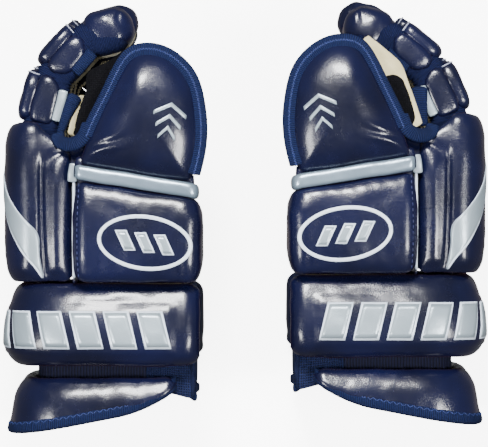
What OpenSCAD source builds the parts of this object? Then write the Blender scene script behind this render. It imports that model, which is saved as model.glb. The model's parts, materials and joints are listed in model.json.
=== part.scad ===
// A pair of padded ice hockey gloves lying on the little-finger side, thumbs up.
// Each glove is drawn once in its own frame: x runs from the back of the hand to
// the palm, y from the cuff to the fingertips, z from the little finger to the
// thumb, with the wrist seam at y = 0. The right glove is its mirror image.

/* [Pair] */
// Distance between the middle lines of the two gloves
pair_spacing = 225.6; // [200:0.2:300]
// How much further up the right glove lies than the left one
right_shift = 7; // [0:0.5:20]
// Shift of both gloves that puts the middle of the pair on the origin
pair_back = 126.9; // [100:0.1:140]

/* [Cuff] */
// Width of the cuff roll from back to palm
cuff_w = 158; // [140:1:180]
// Height of the cuff roll as the glove lies
cuff_h = 150; // [135:1:180]
// Length of the cuff roll along the arm
roll_len = 66; // [50:1:80]
// Thickness of the cuff roll
roll_t = 24; // [16:1:28]
// Outer corner radius of the cuff roll
roll_r = 44; // [30:1:54]
// Outer corner radius of the cuff roll at the palm side
roll_front_r = 18; // [8:1:30]
// Length of the flare at the back of the hand
flare_len = 47; // [36:1:56]
// Wall of the flare
flare_t = 13; // [8:0.5:18]
// How far the narrow end of the flare is set in from the roll
flare_inset = 14; // [8:1:18]
// Width of the woven binding tape
tape_w = 11; // [7:0.5:13]

/* [Hand] */
// Length of the back pad
back_len = 128; // [110:1:140]
// Thickness of the back pad
back_t = 18; // [12:1:20]
// Height of the back pad's upper face
back_top = 140; // [136:1:146]
// Width of the thumb-side roll
side_w = 97; // [84:1:104]
// Length of the thumb-side roll
side_len = 77; // [64:1:80]
// Thickness of the thumb-side roll
side_t = 18; // [12:1:20]
// Thickness of the little-finger-side roll
under_t = 20; // [14:1:24]
// Thickness of the palm leather
palm_t = 3; // [2:0.5:4]
// Thickness of the plastic inserts
plate_t = 2.4; // [1.6:0.2:3]

/* [Thumb] */
// Width of the thumb guard at its base
thumb_w = 92; // [80:1:96]
// Length of the thumb guard from its seam to its top
thumb_len = 102; // [84:1:110]
// Thickness of the thumb guard at its crown
thumb_t = 16; // [12:1:20]
// Inner width of the thumb stall
stall_w = 34; // [26:1:38]

/* [Fingers] */
// Width of the middle, ring and little fingers
finger_w = 30; // [26:0.5:31]
// Width of the index finger, which has a side pad
index_w = 36; // [32:0.5:38]
// Depth from the hinge line to the back of a finger
finger_back = 20; // [16:0.5:22]
// Depth from the hinge line to the palm face of a finger
finger_front = 18; // [15:0.5:20]
// Thickness of a finger's side strips
strip_t = 3; // [2:0.5:4]
// Bend of the left fingers' three lengths from straight, in degrees
left_curl = [15, 42, 75];
// Bend of the right fingers' three lengths from straight, in degrees
right_curl = [25, 50, 76];
// How far a finger joint straightens from rest, in degrees
straighten = 15; // [5:1:18]
// How far a finger joint closes from rest, in degrees
close_up = 35; // [15:1:38]
// Share of the middle joint's turn that the tip joint makes
tip_share = 0.7; // [0.5:0.1:1]

/* [Hidden] */
$fn = 48;
SIDES = ["left", "right"];
FINGERS = ["index", "middle", "ring", "little"];
LENGTHS = ["base", "mid", "tip"];
HAND_PARTS = ["back_pad", "back_plate", "side_roll", "under_roll", "seam_piping", "silver_band",
              "palm_panel", "hand_liner", "cuff_roll", "palm_tab", "wrist_gusset"];
CUFF_PARTS = ["cuff_flare", "cuff_plate", "cuff_binding"];
THUMB_PARTS = ["thumb_guard", "thumb_splint", "thumb_binding", "thumb_stall"];
FINGER_PARTS = [for (f = FINGERS) for (l = LENGTHS) str(f, "_", l)];
PARTS = concat(HAND_PARTS, CUFF_PARTS, THUMB_PARTS, FINGER_PARTS);

navy = [0.10, 0.12, 0.30];
web_navy = [0.07, 0.14, 0.36];
silver = [0.72, 0.76, 0.78];
cream = [0.86, 0.82, 0.70];
dark = [0.06, 0.06, 0.10];
grey = [0.45, 0.47, 0.50];

// Clearances
seam = 0.4;       // between pieces that are sewn side by side
slide = 0.3;      // round an insert in its pocket
slot_gap = 0.8;   // between neighbouring fingers
turn_gap = 3;     // spare degrees at each end of a joint's travel
lay = 0.1;        // between the layers sewn into one finger
fit = 0.02;       // between the thumb guard and its binding
beyond = 200;     // reach of a cut past the glove

// Cuff
cuff_shift = 1.5;
cuff_back = -cuff_w / 2 - cuff_shift;
cuff_front = cuff_back + cuff_w;
roll_y = 6;
roll_end = roll_y + roll_len;
flare_top = -3;
flare_slope = 0.19;
flare_front = 19;
flare_mouth = 48;
gusset_t = 3;
gusset_y = -14;
gusset_end = 20;
flare_in = flare_inset + flare_t + 2 * seam;
gusset_in = max(roll_t + seam, flare_in) + gusset_t;
tab_t = 4;
tab_w = 37;
tab_in = 4;
tab_drop = 20;
tab_x = cuff_front - tab_in;
gusset_front = tab_x - tab_w - 1;
cuff_plate_len = 22;
cuff_plate_w = 70;
mid_z = cuff_h / 2;

// Hand
hand_y = roll_end + 2 * seam;
back_x = cuff_back + 2.5;
back_in = back_x + back_t;
top_t = 11;
seam_x = -23;
piping_d = 3.2;
side_x = seam_x + 4;
side_top = back_top + 16;
side_under = side_top - side_t;
lip_t = 13;
lip_z = 106;
heel_x = -26;
heel_y = 118;
heel_front = cuff_front - 12;
web_z = 104;
web_flat = 38;
web_rise = 27;
under_x = back_x + 40;
under_front = cuff_front - 18;
liner_t = 2;

// Fingers: the knuckle line and each finger's own length and place
knuckle_x = back_in + 9.5;
knuckle_y = hand_y + back_len - 3.6;
knuckle_rise = [0, 3, 1, -5];
first_z = 3;
finger_z = [first_z + 3 * (finger_w + slot_gap), first_z + 2 * (finger_w + slot_gap),
            first_z + finger_w + slot_gap, first_z];
finger_ws = [index_w, finger_w, finger_w, finger_w];
finger_len = [[41, 38, 39], [44, 40, 39], [42, 38, 38], [36, 32, 34]];
index_top = finger_z[0] + index_w;
pad_in = 4;
tip_cap = 9;
tip_back = 8;
tip_front = 7;
hand_tilt = 4;
palm_tilt = 40;
room_back = 60;
palm_edge = 30;

// Thumb
thumb_z = index_top + 1.6;
guard_z = side_top - 5.5;
stall_h = guard_z - thumb_z;
guard_hem = 6;
band_w = 14;
band_tilt = 9;
band_start = [side_x + 1, hand_y + side_len + 1];
thumb_hinge_y = band_start[1] + band_w + 1;
splint_len = 70;
splint_w = 30;

function curl(side) = side == "left" ? left_curl : right_curl;

// Places one glove of the pair.
module place(side) {
    x = side == "left" ? -pair_spacing / 2 : pair_spacing / 2;
    y = -pair_back + (side == "left" ? 0 : right_shift);
    translate([x, y, 0]) mirror([side == "left" ? 0 : 1, 0, 0]) children();
}

// A profile drawn in x and z, carried along y from y0 over a length.
module along_y(y0, length) {
    translate([0, y0 + length, 0]) rotate([90, 0, 0]) linear_extrude(length) children();
}

// A rectangle with rounded corners, given by its two corners.
module round_box(x0, z0, x1, z1, r) {
    translate([x0 + r, z0 + r]) offset(r = r) square([x1 - x0 - 2 * r, z1 - z0 - 2 * r]);
}

// ---- Cuff ----

// Outline of the cuff roll set in by a distance: wide corners at the back of the
// hand and tight ones at the palm.
module cuff_outline(inset) offset(r = -inset) hull() {
    for (z = [roll_r, cuff_h - roll_r]) translate([cuff_back + roll_r, z]) circle(roll_r);
    for (z = [roll_front_r, cuff_h - roll_front_r])
        translate([cuff_front - roll_front_r, z]) circle(roll_front_r);
}

module cuff_roll() color(navy) along_y(roll_y, roll_len) difference() {
    cuff_outline(0);
    cuff_outline(roll_t);
    translate([cuff_front - 2 * roll_t, roll_t]) square([beyond, cuff_h - 2 * roll_t]);
}

// The gusset is an elastic collar under the roll, open towards the palm.
module wrist_gusset() color(dark) {
    along_y(gusset_y, roll_y - gusset_y) gusset_profile(flare_in);
    along_y(roll_y, gusset_end - roll_y) gusset_profile(roll_t + seam);
}

// Section of the gusset, from a given inset to its inner face.
module gusset_profile(inset) difference() {
    cuff_outline(inset);
    cuff_outline(gusset_in);
    translate([gusset_front, 0]) square([beyond, cuff_h]);
}

// The mesh tab closes the palm side of the wrist and turns over at the thumb side.
module palm_tab() color(web_navy) {
    high = cuff_h - flare_in;
    along_y(-tab_drop, tab_drop + roll_y) polygon([
        [tab_x - tab_w, high - tab_t], [tab_x - tab_w, high], [tab_x, high],
        [tab_x, flare_in], [tab_x - tab_t, flare_in], [tab_x - tab_t, high - tab_t]]);
    translate([tab_x - tab_t, roll_y, roll_t + seam])
        cube([tab_t, roll_len - 2, cuff_h - 2 * (roll_t + seam)]);
}

// One flat ring of the flare, set in from the cuff outline.
module flare_ring(y, inset, depth) {
    along_y(y, 0.1) cuff_outline(inset + depth);
}

// The flare widens from the gusset to its free edge and is open at the palm.
module flare_shell() difference() {
    hull() {
        flare_ring(flare_top - 0.1, flare_inset, 0);
        flare_ring(flare_top - flare_len, 2, 0);
    }
    hull() {
        flare_ring(flare_top + 0.2, flare_inset, flare_t);
        flare_ring(flare_top - flare_len - 0.5, 2, flare_t);
    }
    translate([cuff_front - flare_front, -beyond, -1]) cube([beyond, 2 * beyond, cuff_h + 2]);
    translate([cuff_front - flare_mouth, -beyond, flare_inset + flare_t])
        cube([beyond, 2 * beyond, cuff_h - 2 * (flare_inset + flare_t)]);
    flare_below(0);
}

// Everything below the flare's sloping free edge, moved up by a distance.
module flare_below(up) {
    translate([cuff_back - 20, flare_top - flare_len + up, -1]) rotate([0, 0, atan(flare_slope)])
        translate([-20, -beyond, 0]) cube([2 * beyond, beyond, cuff_h + 2]);
}

// Space of the flare's insert, grown by a clearance.
module cuff_plate_space(grow) {
    lean = atan((flare_inset - 2) / flare_len);
    translate([cuff_back + flare_inset / 2 + flare_t / 2 + 1, flare_top - 17, mid_z])
        rotate([0, 0, -lean])
            translate([-plate_t / 2 - grow, -cuff_plate_len / 2 - grow, -cuff_plate_w / 2 - grow])
                cube([plate_t + 2 * grow, cuff_plate_len + 2 * grow, cuff_plate_w + 2 * grow]);
}

module cuff_flare() color(navy) difference() {
    flare_shell();
    flare_below(tape_w);
    cuff_plate_space(slide);
}

module cuff_plate() color(grey) cuff_plate_space(0);

module cuff_binding() color(web_navy) intersection() {
    flare_shell();
    flare_below(tape_w);
}

// ---- Hand ----

// Room in which the fingers turn, cut from every piece of the hand.
module knuckle_room() {
    for (i = [0:3]) {
        low = i == 3 ? -1 : finger_z[i] - slot_gap / 2;
        high = finger_z[i] + finger_ws[i] + slot_gap / 2;
        translate([knuckle_x, knuckle_y + knuckle_rise[i] - seam, low])
            linear_extrude(high - low) polygon([
                [0, 0], [-room_back, -room_back * tan(hand_tilt)], [-room_back, beyond],
                [beyond, beyond], [beyond, -palm_edge * tan(palm_tilt)],
                [palm_edge, -palm_edge * tan(palm_tilt)]]);
    }
}

// The back pad wraps from the thumb-side seam round the back of the hand to the
// little-finger side.
module back_pad() color(navy) difference() {
    along_y(hand_y, back_len) difference() {
        round_box(back_x, 0, back_x + 110, back_top, 30);
        back_hollow(0);
        translate([seam_x, under_t + 1]) square([beyond, back_top]);
        translate([under_x, -1]) square([beyond, under_t + 3]);
    }
    knuckle_room();
    back_plate_space(slide);
}

// Section of the hollow inside the back pad, set in by a distance.
module back_hollow(inset)
    round_box(back_in + inset, under_t + inset, back_x + 130, back_top - top_t - inset,
              14 - inset);

// Space of the insert in the back of the hand, grown by a clearance.
module back_plate_space(grow) {
    translate([back_x + back_t / 2 - plate_t / 2 - grow, hand_y + 16 - grow, 38 - grow])
        cube([plate_t + 2 * grow, back_len - 40 + 2 * grow, 66 + 2 * grow]);
}

module back_plate() color(grey) back_plate_space(0);

// The thumb-side roll lies over the base of the thumb with a lip on the palm side.
// Its upper end slopes with the silver band.
module side_roll() color(navy) difference() {
    along_y(hand_y, side_len) difference() {
        round_box(side_x, side_under - 40, side_x + side_w, side_top, 9);
        translate([side_x - 1, side_under - 60]) square([side_w - lip_t + 1, 60]);
        translate([side_x - 1, side_under - 60]) square([side_w + 2, lip_z + 60 - side_under]);
    }
    translate([band_start[0], band_start[1] - seam, 0]) rotate([0, 0, -band_tilt])
        translate([-20, 0, 0]) cube([beyond, beyond, side_top + 1]);
}

// The roll under the little-finger side carries the glove as it lies.
module under_roll() color(navy) difference() {
    linear_extrude(under_t) offset(r = 4) offset(delta = -4) polygon([
        [under_x + seam, hand_y], [under_front, hand_y], [heel_x + 2, heel_y + 5],
        [heel_x + 2, hand_y + back_len], [under_x + seam, hand_y + back_len]]);
    knuckle_room();
}

module seam_piping() color(silver)
    translate([(seam_x + side_x) / 2, hand_y, back_top - 1]) rotate([-90, 0, 0])
        cylinder(d = piping_d, h = side_len + 14);

module silver_band() color(silver)
    translate([band_start[0], band_start[1], side_top - 8]) rotate([0, 0, -band_tilt])
        translate([1, 0, 0]) linear_extrude(8) offset(r = 2) offset(delta = -2)
            square([thumb_w - 2, band_w]);

// Palm leather: the flat of the palm, the heel up to the cuff and the web that
// runs from the heel up under the thumb.
module palm_panel() color(cream) difference() {
    union() {
        translate([heel_x, heel_y, under_t + seam])
            cube([palm_t, beyond, index_top - 6 - under_t - seam]);
        translate([0, 0, under_t + seam]) linear_extrude(web_z - under_t - seam) polygon([
            [heel_x, heel_y], [heel_x + palm_t, heel_y], [heel_front, hand_y + palm_t],
            [heel_front, hand_y], [heel_x, heel_y - palm_t]]);
        intersection() {
            translate([heel_x + palm_t, 0, 0]) rotate([90, 0, 90])
                linear_extrude(side_x + side_w - lip_t - heel_x - palm_t - seam) polygon([
                    [hand_y, web_z], [hand_y + web_flat, web_z],
                    [hand_y + side_len, web_z + web_rise],
                    [hand_y + side_len, web_z + web_rise + palm_t],
                    [hand_y + web_flat - 1, web_z + palm_t], [hand_y, web_z + palm_t]]);
            linear_extrude(beyond) polygon([
                [heel_x, heel_y - palm_t], [heel_front, hand_y], [beyond, hand_y],
                [beyond, beyond], [heel_x, beyond]]);
        }
    }
    knuckle_room();
}

// The lining of the hand, open where the palm leather closes it.
module hand_liner() color(cream) difference() {
    along_y(hand_y, back_len - 4) difference() {
        back_hollow(seam);
        back_hollow(seam + liner_t);
        translate([heel_x - seam, 0]) square([beyond, back_top]);
    }
    knuckle_room();
}

// ---- Thumb ----

// Outline of the thumb guard seen from the thumb side, drawn from its base seam
// and set in by a distance. The points are shares of its width and length.
module guard_outline(inset) offset(delta = -inset) offset(r = 14) offset(delta = -14)
    polygon([for (p = [[0, 0], [1, 0], [1.02, 0.2], [1.02, 0.34], [0.975, 0.5], [0.87, 0.75],
                       [0.74, 0.885], [0.56, 0.985], [0.4, 1], [0.26, 0.9], [0.16, 0.71],
                       [0.11, 0.55], [0.02, 0.27]])
        [p[0] * thumb_w, p[1] * thumb_len]]);

// Puts a piece on the sloping seam at the base of the thumb.
module at_thumb(z) {
    translate([band_start[0], thumb_hinge_y, z]) rotate([0, 0, -band_tilt]) children();
}

// Space of the thumb's insert, grown by a clearance.
module thumb_splint_space(grow) {
    at_thumb(guard_z + 5 - grow)
        translate([thumb_w * 0.34 - grow, 14 - grow, 0])
            cube([splint_w + 2 * grow, splint_len + 2 * grow, plate_t + 2 * grow]);
}

module thumb_guard() color(navy) difference() {
    hull() {
        at_thumb(guard_z) linear_extrude(guard_hem) guard_outline(tape_w - 2);
        at_thumb(guard_z) linear_extrude(thumb_t) guard_outline(tape_w + 9);
    }
    thumb_splint_space(slide);
}

module thumb_splint() color(grey) thumb_splint_space(0);

module thumb_binding() color(web_navy)
    at_thumb(guard_z) linear_extrude(guard_hem) difference() {
        guard_outline(0);
        hull() guard_outline(tape_w - 2 - fit);
    }

// The thumb stall hangs under the guard: a floor, two sides and a closed end.
module thumb_stall() color(cream) at_thumb(thumb_z) {
    x0 = thumb_w * 0.5 - stall_w / 2;
    reach = thumb_len * 0.86;
    translate([x0 - strip_t, 2, 0]) cube([stall_w + 2 * strip_t, reach, strip_t]);
    for (x = [x0 - strip_t, x0 + stall_w])
        translate([x, 2, strip_t]) cube([strip_t, reach, stall_h - strip_t]);
    translate([x0, 2 + reach - strip_t, strip_t])
        cube([stall_w, strip_t, stall_h - strip_t]);
}

// ---- Fingers ----

// How far a finger length's end gives way on its back and on its palm face, so that
// the two lengths that meet clear each other: bend is the bend between them at rest,
// out and in are how far the joint straightens and closes from there.
function back_cut(bend, out) = finger_back * tan((out + turn_gap - bend) / 2);
function front_cut(bend, in) = finger_front * tan((bend + in + turn_gap) / 2);
function root_back(bend) = finger_back * tan(straighten + turn_gap - bend - hand_tilt);
function root_front(bend) = finger_front * tan(bend + close_up + turn_gap - palm_tilt);

// One length of a finger, drawn along y from its hinge at the origin, with the
// palm towards +x. b0, f0 and b1, f1 are how far its ends give way on the back
// and on the palm face.
module finger_length(w, l, b0, f0, b1, f1, closed) {
    // y of each end at a depth x, as straight lines through the hinges
    function y0(x) = seam + (x < 0 ? -x / finger_back * b0 : x / finger_front * f0);
    function y1(x) = l - seam - (x < 0 ? -x / finger_back * b1 : x / finger_front * f1);
    inner = finger_front - palm_t;
    wall = inner - lay;
    pad = -pad_in - lay;
    // padded back
    color(navy) linear_extrude(w) offset(r = 2) offset(delta = -2) polygon([
        [-finger_back, y0(-finger_back)], [pad, y0(pad)], [pad, y1(pad)],
        [-finger_back, y1(-finger_back)]]);
    // side strips
    for (z = [0, w - strip_t]) color(web_navy) translate([0, 0, z]) linear_extrude(strip_t)
        polygon([[-pad_in, y0(-pad_in)], [0, y0(0)], [wall, y0(wall)],
                 [wall, y1(wall)], [0, y1(0)], [-pad_in, y1(-pad_in)]]);
    // palm leather
    color(cream) linear_extrude(w) polygon([
        [inner, y0(inner)], [finger_front, y0(finger_front)],
        [finger_front, y1(finger_front)], [inner, y1(inner)]]);
    // closed fingertip
    if (closed) color(navy) translate([0, 0, strip_t + lay])
        linear_extrude(w - 2 * strip_t - 2 * lay)
            polygon([[-pad_in, l - tip_cap], [wall, l - tip_cap], [wall, y1(wall)],
                     [0, y1(0)], [-pad_in, y1(-pad_in)]]);
}

// Where a finger's joint lies in the glove, from the knuckle on.
function joint_at(i, k, c) = k == 0 ? [knuckle_x, knuckle_y + knuckle_rise[i]]
    : joint_at(i, k - 1, c) + finger_len[i][k - 1] * [sin(c[k - 1]), cos(c[k - 1])];

// Length k of finger i in its place, on the glove of a side.
module finger_part(side, i, k) {
    c = curl(side);
    at = joint_at(i, k, c);
    bend = c[k] - (k == 0 ? 0 : c[k - 1]);
    next = k == 2 ? 0 : c[k + 1] - c[k];
    share = k == 2 ? tip_share : 1;
    next_share = k == 1 ? tip_share : 1;
    b0 = k == 0 ? root_back(bend) : back_cut(bend, straighten * share);
    f0 = k == 0 ? root_front(bend) : front_cut(bend, close_up * share);
    b1 = k == 2 ? tip_back : back_cut(next, straighten * next_share);
    f1 = k == 2 ? tip_front : front_cut(next, close_up * next_share);
    translate([at[0], at[1], finger_z[i]]) rotate([0, 0, -c[k]])
        finger_length(finger_ws[i], finger_len[i][k], b0, f0, b1, f1, k == 2);
}

// Any part of one glove by its name.
module glove_part(side, part) {
    if (part == "back_pad") back_pad();
    if (part == "back_plate") back_plate();
    if (part == "side_roll") side_roll();
    if (part == "under_roll") under_roll();
    if (part == "seam_piping") seam_piping();
    if (part == "silver_band") silver_band();
    if (part == "palm_panel") palm_panel();
    if (part == "hand_liner") hand_liner();
    if (part == "cuff_roll") cuff_roll();
    if (part == "palm_tab") palm_tab();
    if (part == "wrist_gusset") wrist_gusset();
    if (part == "cuff_flare") cuff_flare();
    if (part == "cuff_plate") cuff_plate();
    if (part == "cuff_binding") cuff_binding();
    if (part == "thumb_guard") thumb_guard();
    if (part == "thumb_splint") thumb_splint();
    if (part == "thumb_binding") thumb_binding();
    if (part == "thumb_stall") thumb_stall();
    for (i = [0:3]) for (k = [0:2])
        if (part == str(FINGERS[i], "_", LENGTHS[k])) finger_part(side, i, k);
}

for (s = SIDES) for (p = PARTS)
    place(s) glove_part(s, p);
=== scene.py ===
"""A pair of padded ice hockey gloves lying on the little-finger side, thumbs up.
Each glove is drawn once, in millimetres, in its own frame: x runs from the back of
the hand to the palm, y from the cuff to the fingertips and z from the table up."""

import itertools
import json
import math

import bmesh
import bpy
import numpy as np
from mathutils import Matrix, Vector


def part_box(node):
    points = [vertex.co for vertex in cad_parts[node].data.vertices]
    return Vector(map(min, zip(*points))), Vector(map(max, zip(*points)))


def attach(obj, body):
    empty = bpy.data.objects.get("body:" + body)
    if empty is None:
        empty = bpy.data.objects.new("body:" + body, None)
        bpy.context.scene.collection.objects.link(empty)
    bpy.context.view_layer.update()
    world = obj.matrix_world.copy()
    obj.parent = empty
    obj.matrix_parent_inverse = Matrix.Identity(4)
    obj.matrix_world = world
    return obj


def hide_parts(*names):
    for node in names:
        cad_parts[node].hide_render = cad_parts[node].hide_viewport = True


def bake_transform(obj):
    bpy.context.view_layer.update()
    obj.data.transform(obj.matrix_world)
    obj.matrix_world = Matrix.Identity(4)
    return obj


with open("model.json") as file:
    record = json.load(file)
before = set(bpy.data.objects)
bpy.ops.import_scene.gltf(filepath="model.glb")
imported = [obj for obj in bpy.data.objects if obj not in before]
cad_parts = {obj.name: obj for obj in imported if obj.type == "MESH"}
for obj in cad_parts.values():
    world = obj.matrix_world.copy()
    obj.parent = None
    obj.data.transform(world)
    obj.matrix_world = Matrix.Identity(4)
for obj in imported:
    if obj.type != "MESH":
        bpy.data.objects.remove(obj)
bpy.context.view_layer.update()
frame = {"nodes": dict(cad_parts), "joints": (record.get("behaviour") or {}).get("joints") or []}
SIDES = ("left", "right")
joint_at = {j["name"]: j["pos_m"] for j in frame["joints"] if "pos_m" in j}

# ---- Cuff roll ----
# A stout padded roll of coated navy leather goes round the wrist, open at the palm.
# It is one foam core in a sewn cover, fuller towards the arm, with a raised panel
# that carries a row of plain slanted silver bars on white.


# From a glove's zero to the cuff roll's back face and to its near face, in metres.
ROLL_OUT, ROLL_UP = 0.0805, 0.006


def in_row(side, points):
    """Row-frame metres of a glove's points in millimetres. The cuff roll's box says
    where the glove lies, and the right glove is the left one mirrored in x."""
    low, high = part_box(side + "_cuff_roll")
    way = 1 if side == "left" else -1
    zero = np.array([(low if way == 1 else high)[0] + way * ROLL_OUT, low[1] - ROLL_UP, 0])
    return zero + np.asarray(points, float) / 1000 * [way, 1, 1]


def ease(v, a, b):
    """0 below a, 1 above b, and a smooth cubic step between them."""
    t = np.clip((np.asarray(v, float) - a) / (b - a), 0, 1)
    return t * t * (3 - 2 * t)


def hump(v, middle, width):
    """A bell of height 1 round the middle."""
    return np.exp(-(((v - middle) / width) ** 2))


def power(v, p):
    """v to the power p, with the sign of v kept."""
    return np.sign(v) * np.abs(v) ** p


def superellipse(cols, shape):
    """Both measures of a closed section that reaches 1 each way. shape has its powers."""
    phi = np.linspace(0, 2 * np.pi, cols, endpoint=False)
    return power(np.cos(phi), 2 / shape[0]), power(np.sin(phi), 2 / shape[1])


def travelled(p):
    """The way along a line of points from its first one to each."""
    return np.concatenate([[0], np.cumsum(np.linalg.norm(np.diff(p, axis=0), axis=1))])


def spaced(p, count, closed=False):
    """A line as count evenly spaced points. A closed line comes with its first point
    repeated at its end, and goes without it."""
    d = travelled(p)
    u = np.linspace(0, d[-1], count, endpoint=not closed)
    return np.stack([np.interp(u, d, p[:, k]) for k in range(p.shape[1])], -1)


def route(points, radius, count):
    """A line through the points as count evenly spaced points. Each corner is a
    quadratic curve that leaves the line a radius before it and joins a radius after."""
    p = np.asarray(points, float)
    t = np.linspace(0, 1, 13)[:, None]
    out = [p[:1]]
    for a, b, c in zip(p[:-2], p[1:-1], p[2:]):
        ab, bc = np.linalg.norm(b - a), np.linalg.norm(c - b)
        r = min(radius, ab / 2, bc / 2)
        s, e = b + (a - b) * r / ab, b + (c - b) * r / bc
        out.append((1 - t) ** 2 * s + 2 * t * (1 - t) * b + t * t * e)
    return spaced(np.concatenate(out + [p[-1:]]), count)


def unit(v):
    """Each vector over its own length."""
    return v / np.maximum(np.linalg.norm(v, axis=-1, keepdims=True), 1e-9)


def facing(grid):
    """Outward normals of a grid whose columns close: the cross product of its steps
    along and round, turned to point away from each row's middle."""
    n = unit(np.cross(np.gradient(grid, axis=0), np.roll(grid, -1, 1) - np.roll(grid, 1, 1)))
    away = grid - grid.mean(1, keepdims=True)
    return n * np.where((n * away).sum() < 0, -1, 1)


def ripple(grid, size, seed):
    """A gentle unevenness from -1 to 1: seven sine waves about size millimetres long,
    whose directions come from the seed."""
    rng = np.random.default_rng(seed)
    waves = unit(rng.normal(size=(7, 3))) * 2 * np.pi / size * rng.uniform(0.6, 1.5, (7, 1))
    return np.sin(grid @ waves.T + rng.uniform(0, 6.3, 7)).mean(-1) * 1.8


class Panel:
    """A padded panel carried round a line in x and z. Its section is a superellipse,
    across the thickness and along y, with its outer face on the line. Towards both ends
    of the line it thins on a quarter circle and its corners draw in."""

    def __init__(self, points, radius, half, y0, y1, ends=10, corner=9, shape=(2.4, 4),
                 rows=90, cols=48):
        fine = route(points, radius, 600)
        station = np.arange(len(fine))
        forward = unit(np.gradient(fine, axis=0))
        outward = np.stack([forward[:, 1], -forward[:, 0]], -1)
        self.far = np.linalg.norm(np.diff(fine, axis=0), axis=1).sum()
        q = ends * (1 - np.cos(np.linspace(0, np.pi / 2, 8)))
        self.s = np.concatenate([q[:-1], np.linspace(ends, self.far - ends, rows), self.far - q[-2::-1]])
        at = self.s / self.far * station[-1]
        line, out = (np.stack([np.interp(at, station, v[:, k]) for k in (0, 1)], -1)
                     for v in (fine, outward))
        self.out, self.cols = unit(out), cols
        half, y0, y1 = (f(self.s, line) if callable(f) else np.full(len(self.s), float(f))
                        for f in (half, y0, y1))
        e = np.clip(np.minimum(self.s, self.far - self.s) / ends, 0, 1)
        thin = np.sqrt(1 - (1 - e) ** 2)
        self.a, self.b = superellipse(cols, shape)
        self.middle = (y0 + y1) / 2
        self.reach = np.maximum((y1 - y0) / 2 - corner * (1 - thin), 0.5)
        depth = half[:, None] * (self.a * thin[:, None] - 1)
        y = self.middle[:, None] + self.reach[:, None] * self.b
        x, z = (line[:, k, None] + self.out[:, k, None] * depth for k in (0, 1))
        self.grid = np.stack([x, y, z], -1)

    def push(self, amount):
        """Moves the skin outward by an amount in millimetres at each point."""
        self.grid = self.grid + facing(self.grid) * np.asarray(amount)[..., None]

    def shift(self, amount):
        """Moves the whole section along the line's outward direction."""
        self.grid[..., 0] += self.out[:, 0, None] * amount
        self.grid[..., 2] += self.out[:, 1, None] * amount

    def at(self, s, y, lift):
        """The point on the outer face at s along the line and at y, raised by lift: the
        grid and its normals, read between their rows and columns in proportion. A
        column's place across the face is its own share of the reach."""
        row = np.interp(s, self.s, np.arange(len(self.s)))
        b = np.clip((y - np.interp(s, self.s, self.middle)) / np.interp(s, self.s, self.reach), -1, 1)
        outer = np.arange(-(self.cols // 4), self.cols // 4 + 1)
        col = np.interp(b, self.b[outer % self.cols], outer)
        normal = unit(between(facing(self.grid), row, col))
        return between(self.grid, row, col) + normal * np.asarray(lift)[..., None]


def between(grid, row, col):
    """A grid read at fractions of a row and a column, whose columns close."""
    i = np.clip(np.floor(row).astype(int), 0, grid.shape[0] - 2)
    j = np.floor(col).astype(int)
    u, v = (row - i)[..., None], (col - j)[..., None]
    j, k = j % grid.shape[1], (j + 1) % grid.shape[1]
    here, there = ((1 - v) * grid[r, j] + v * grid[r, k] for r in (i, i + 1))
    return (1 - u) * here + u * there


def patch(edge_a, edge_b, lift, inner=7):
    """Measures of a thin raised patch between two edge lines, as (first, second, height)
    grids: across it goes up one edge, over the top, down the other and back beneath on
    the same stations, and its end rows lie flat on themselves, so it closes."""
    a, b = np.asarray(edge_a, float), np.asarray(edge_b, float)
    rim = np.clip(0.5 / np.maximum(np.linalg.norm(b - a, axis=1), 1e-6), 0.02, 0.3)[:, None]
    over_top = rim + (1 - 2 * rim) * np.linspace(0, 1, inner)[None]
    zero, one = np.zeros_like(rim), np.ones_like(rim)
    t = np.concatenate([zero, zero, over_top, one, one, over_top[:, ::-1]], 1)
    h = np.r_[-0.5, 0.5 * lift, np.full(inner, lift), 0.5 * lift, -0.5, np.full(inner, -0.5)]
    h = np.repeat(h[None], len(a) + 2, 0)
    h[[0, -1]] = -0.5
    t = t[np.r_[0, range(len(a)), -1]]
    a, b = (e[np.r_[0, range(len(e)), -1]] for e in (a, b))
    return (*((1 - t) * a[:, k, None] + t * b[:, k, None] for k in (0, 1)), h)


def joined(mesh, apart):
    """A smooth object from a mesh. Points less than apart metres from each other become
    one, and the faces turn outward."""
    form = bmesh.new()
    form.from_mesh(mesh)
    bmesh.ops.remove_doubles(form, verts=form.verts, dist=apart)
    bmesh.ops.recalc_face_normals(form, faces=form.faces)
    form.to_mesh(mesh)
    form.free()
    mesh.shade_smooth()
    piece = bpy.data.objects.new(mesh.name, mesh)
    bpy.context.scene.collection.objects.link(piece)
    return piece


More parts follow.
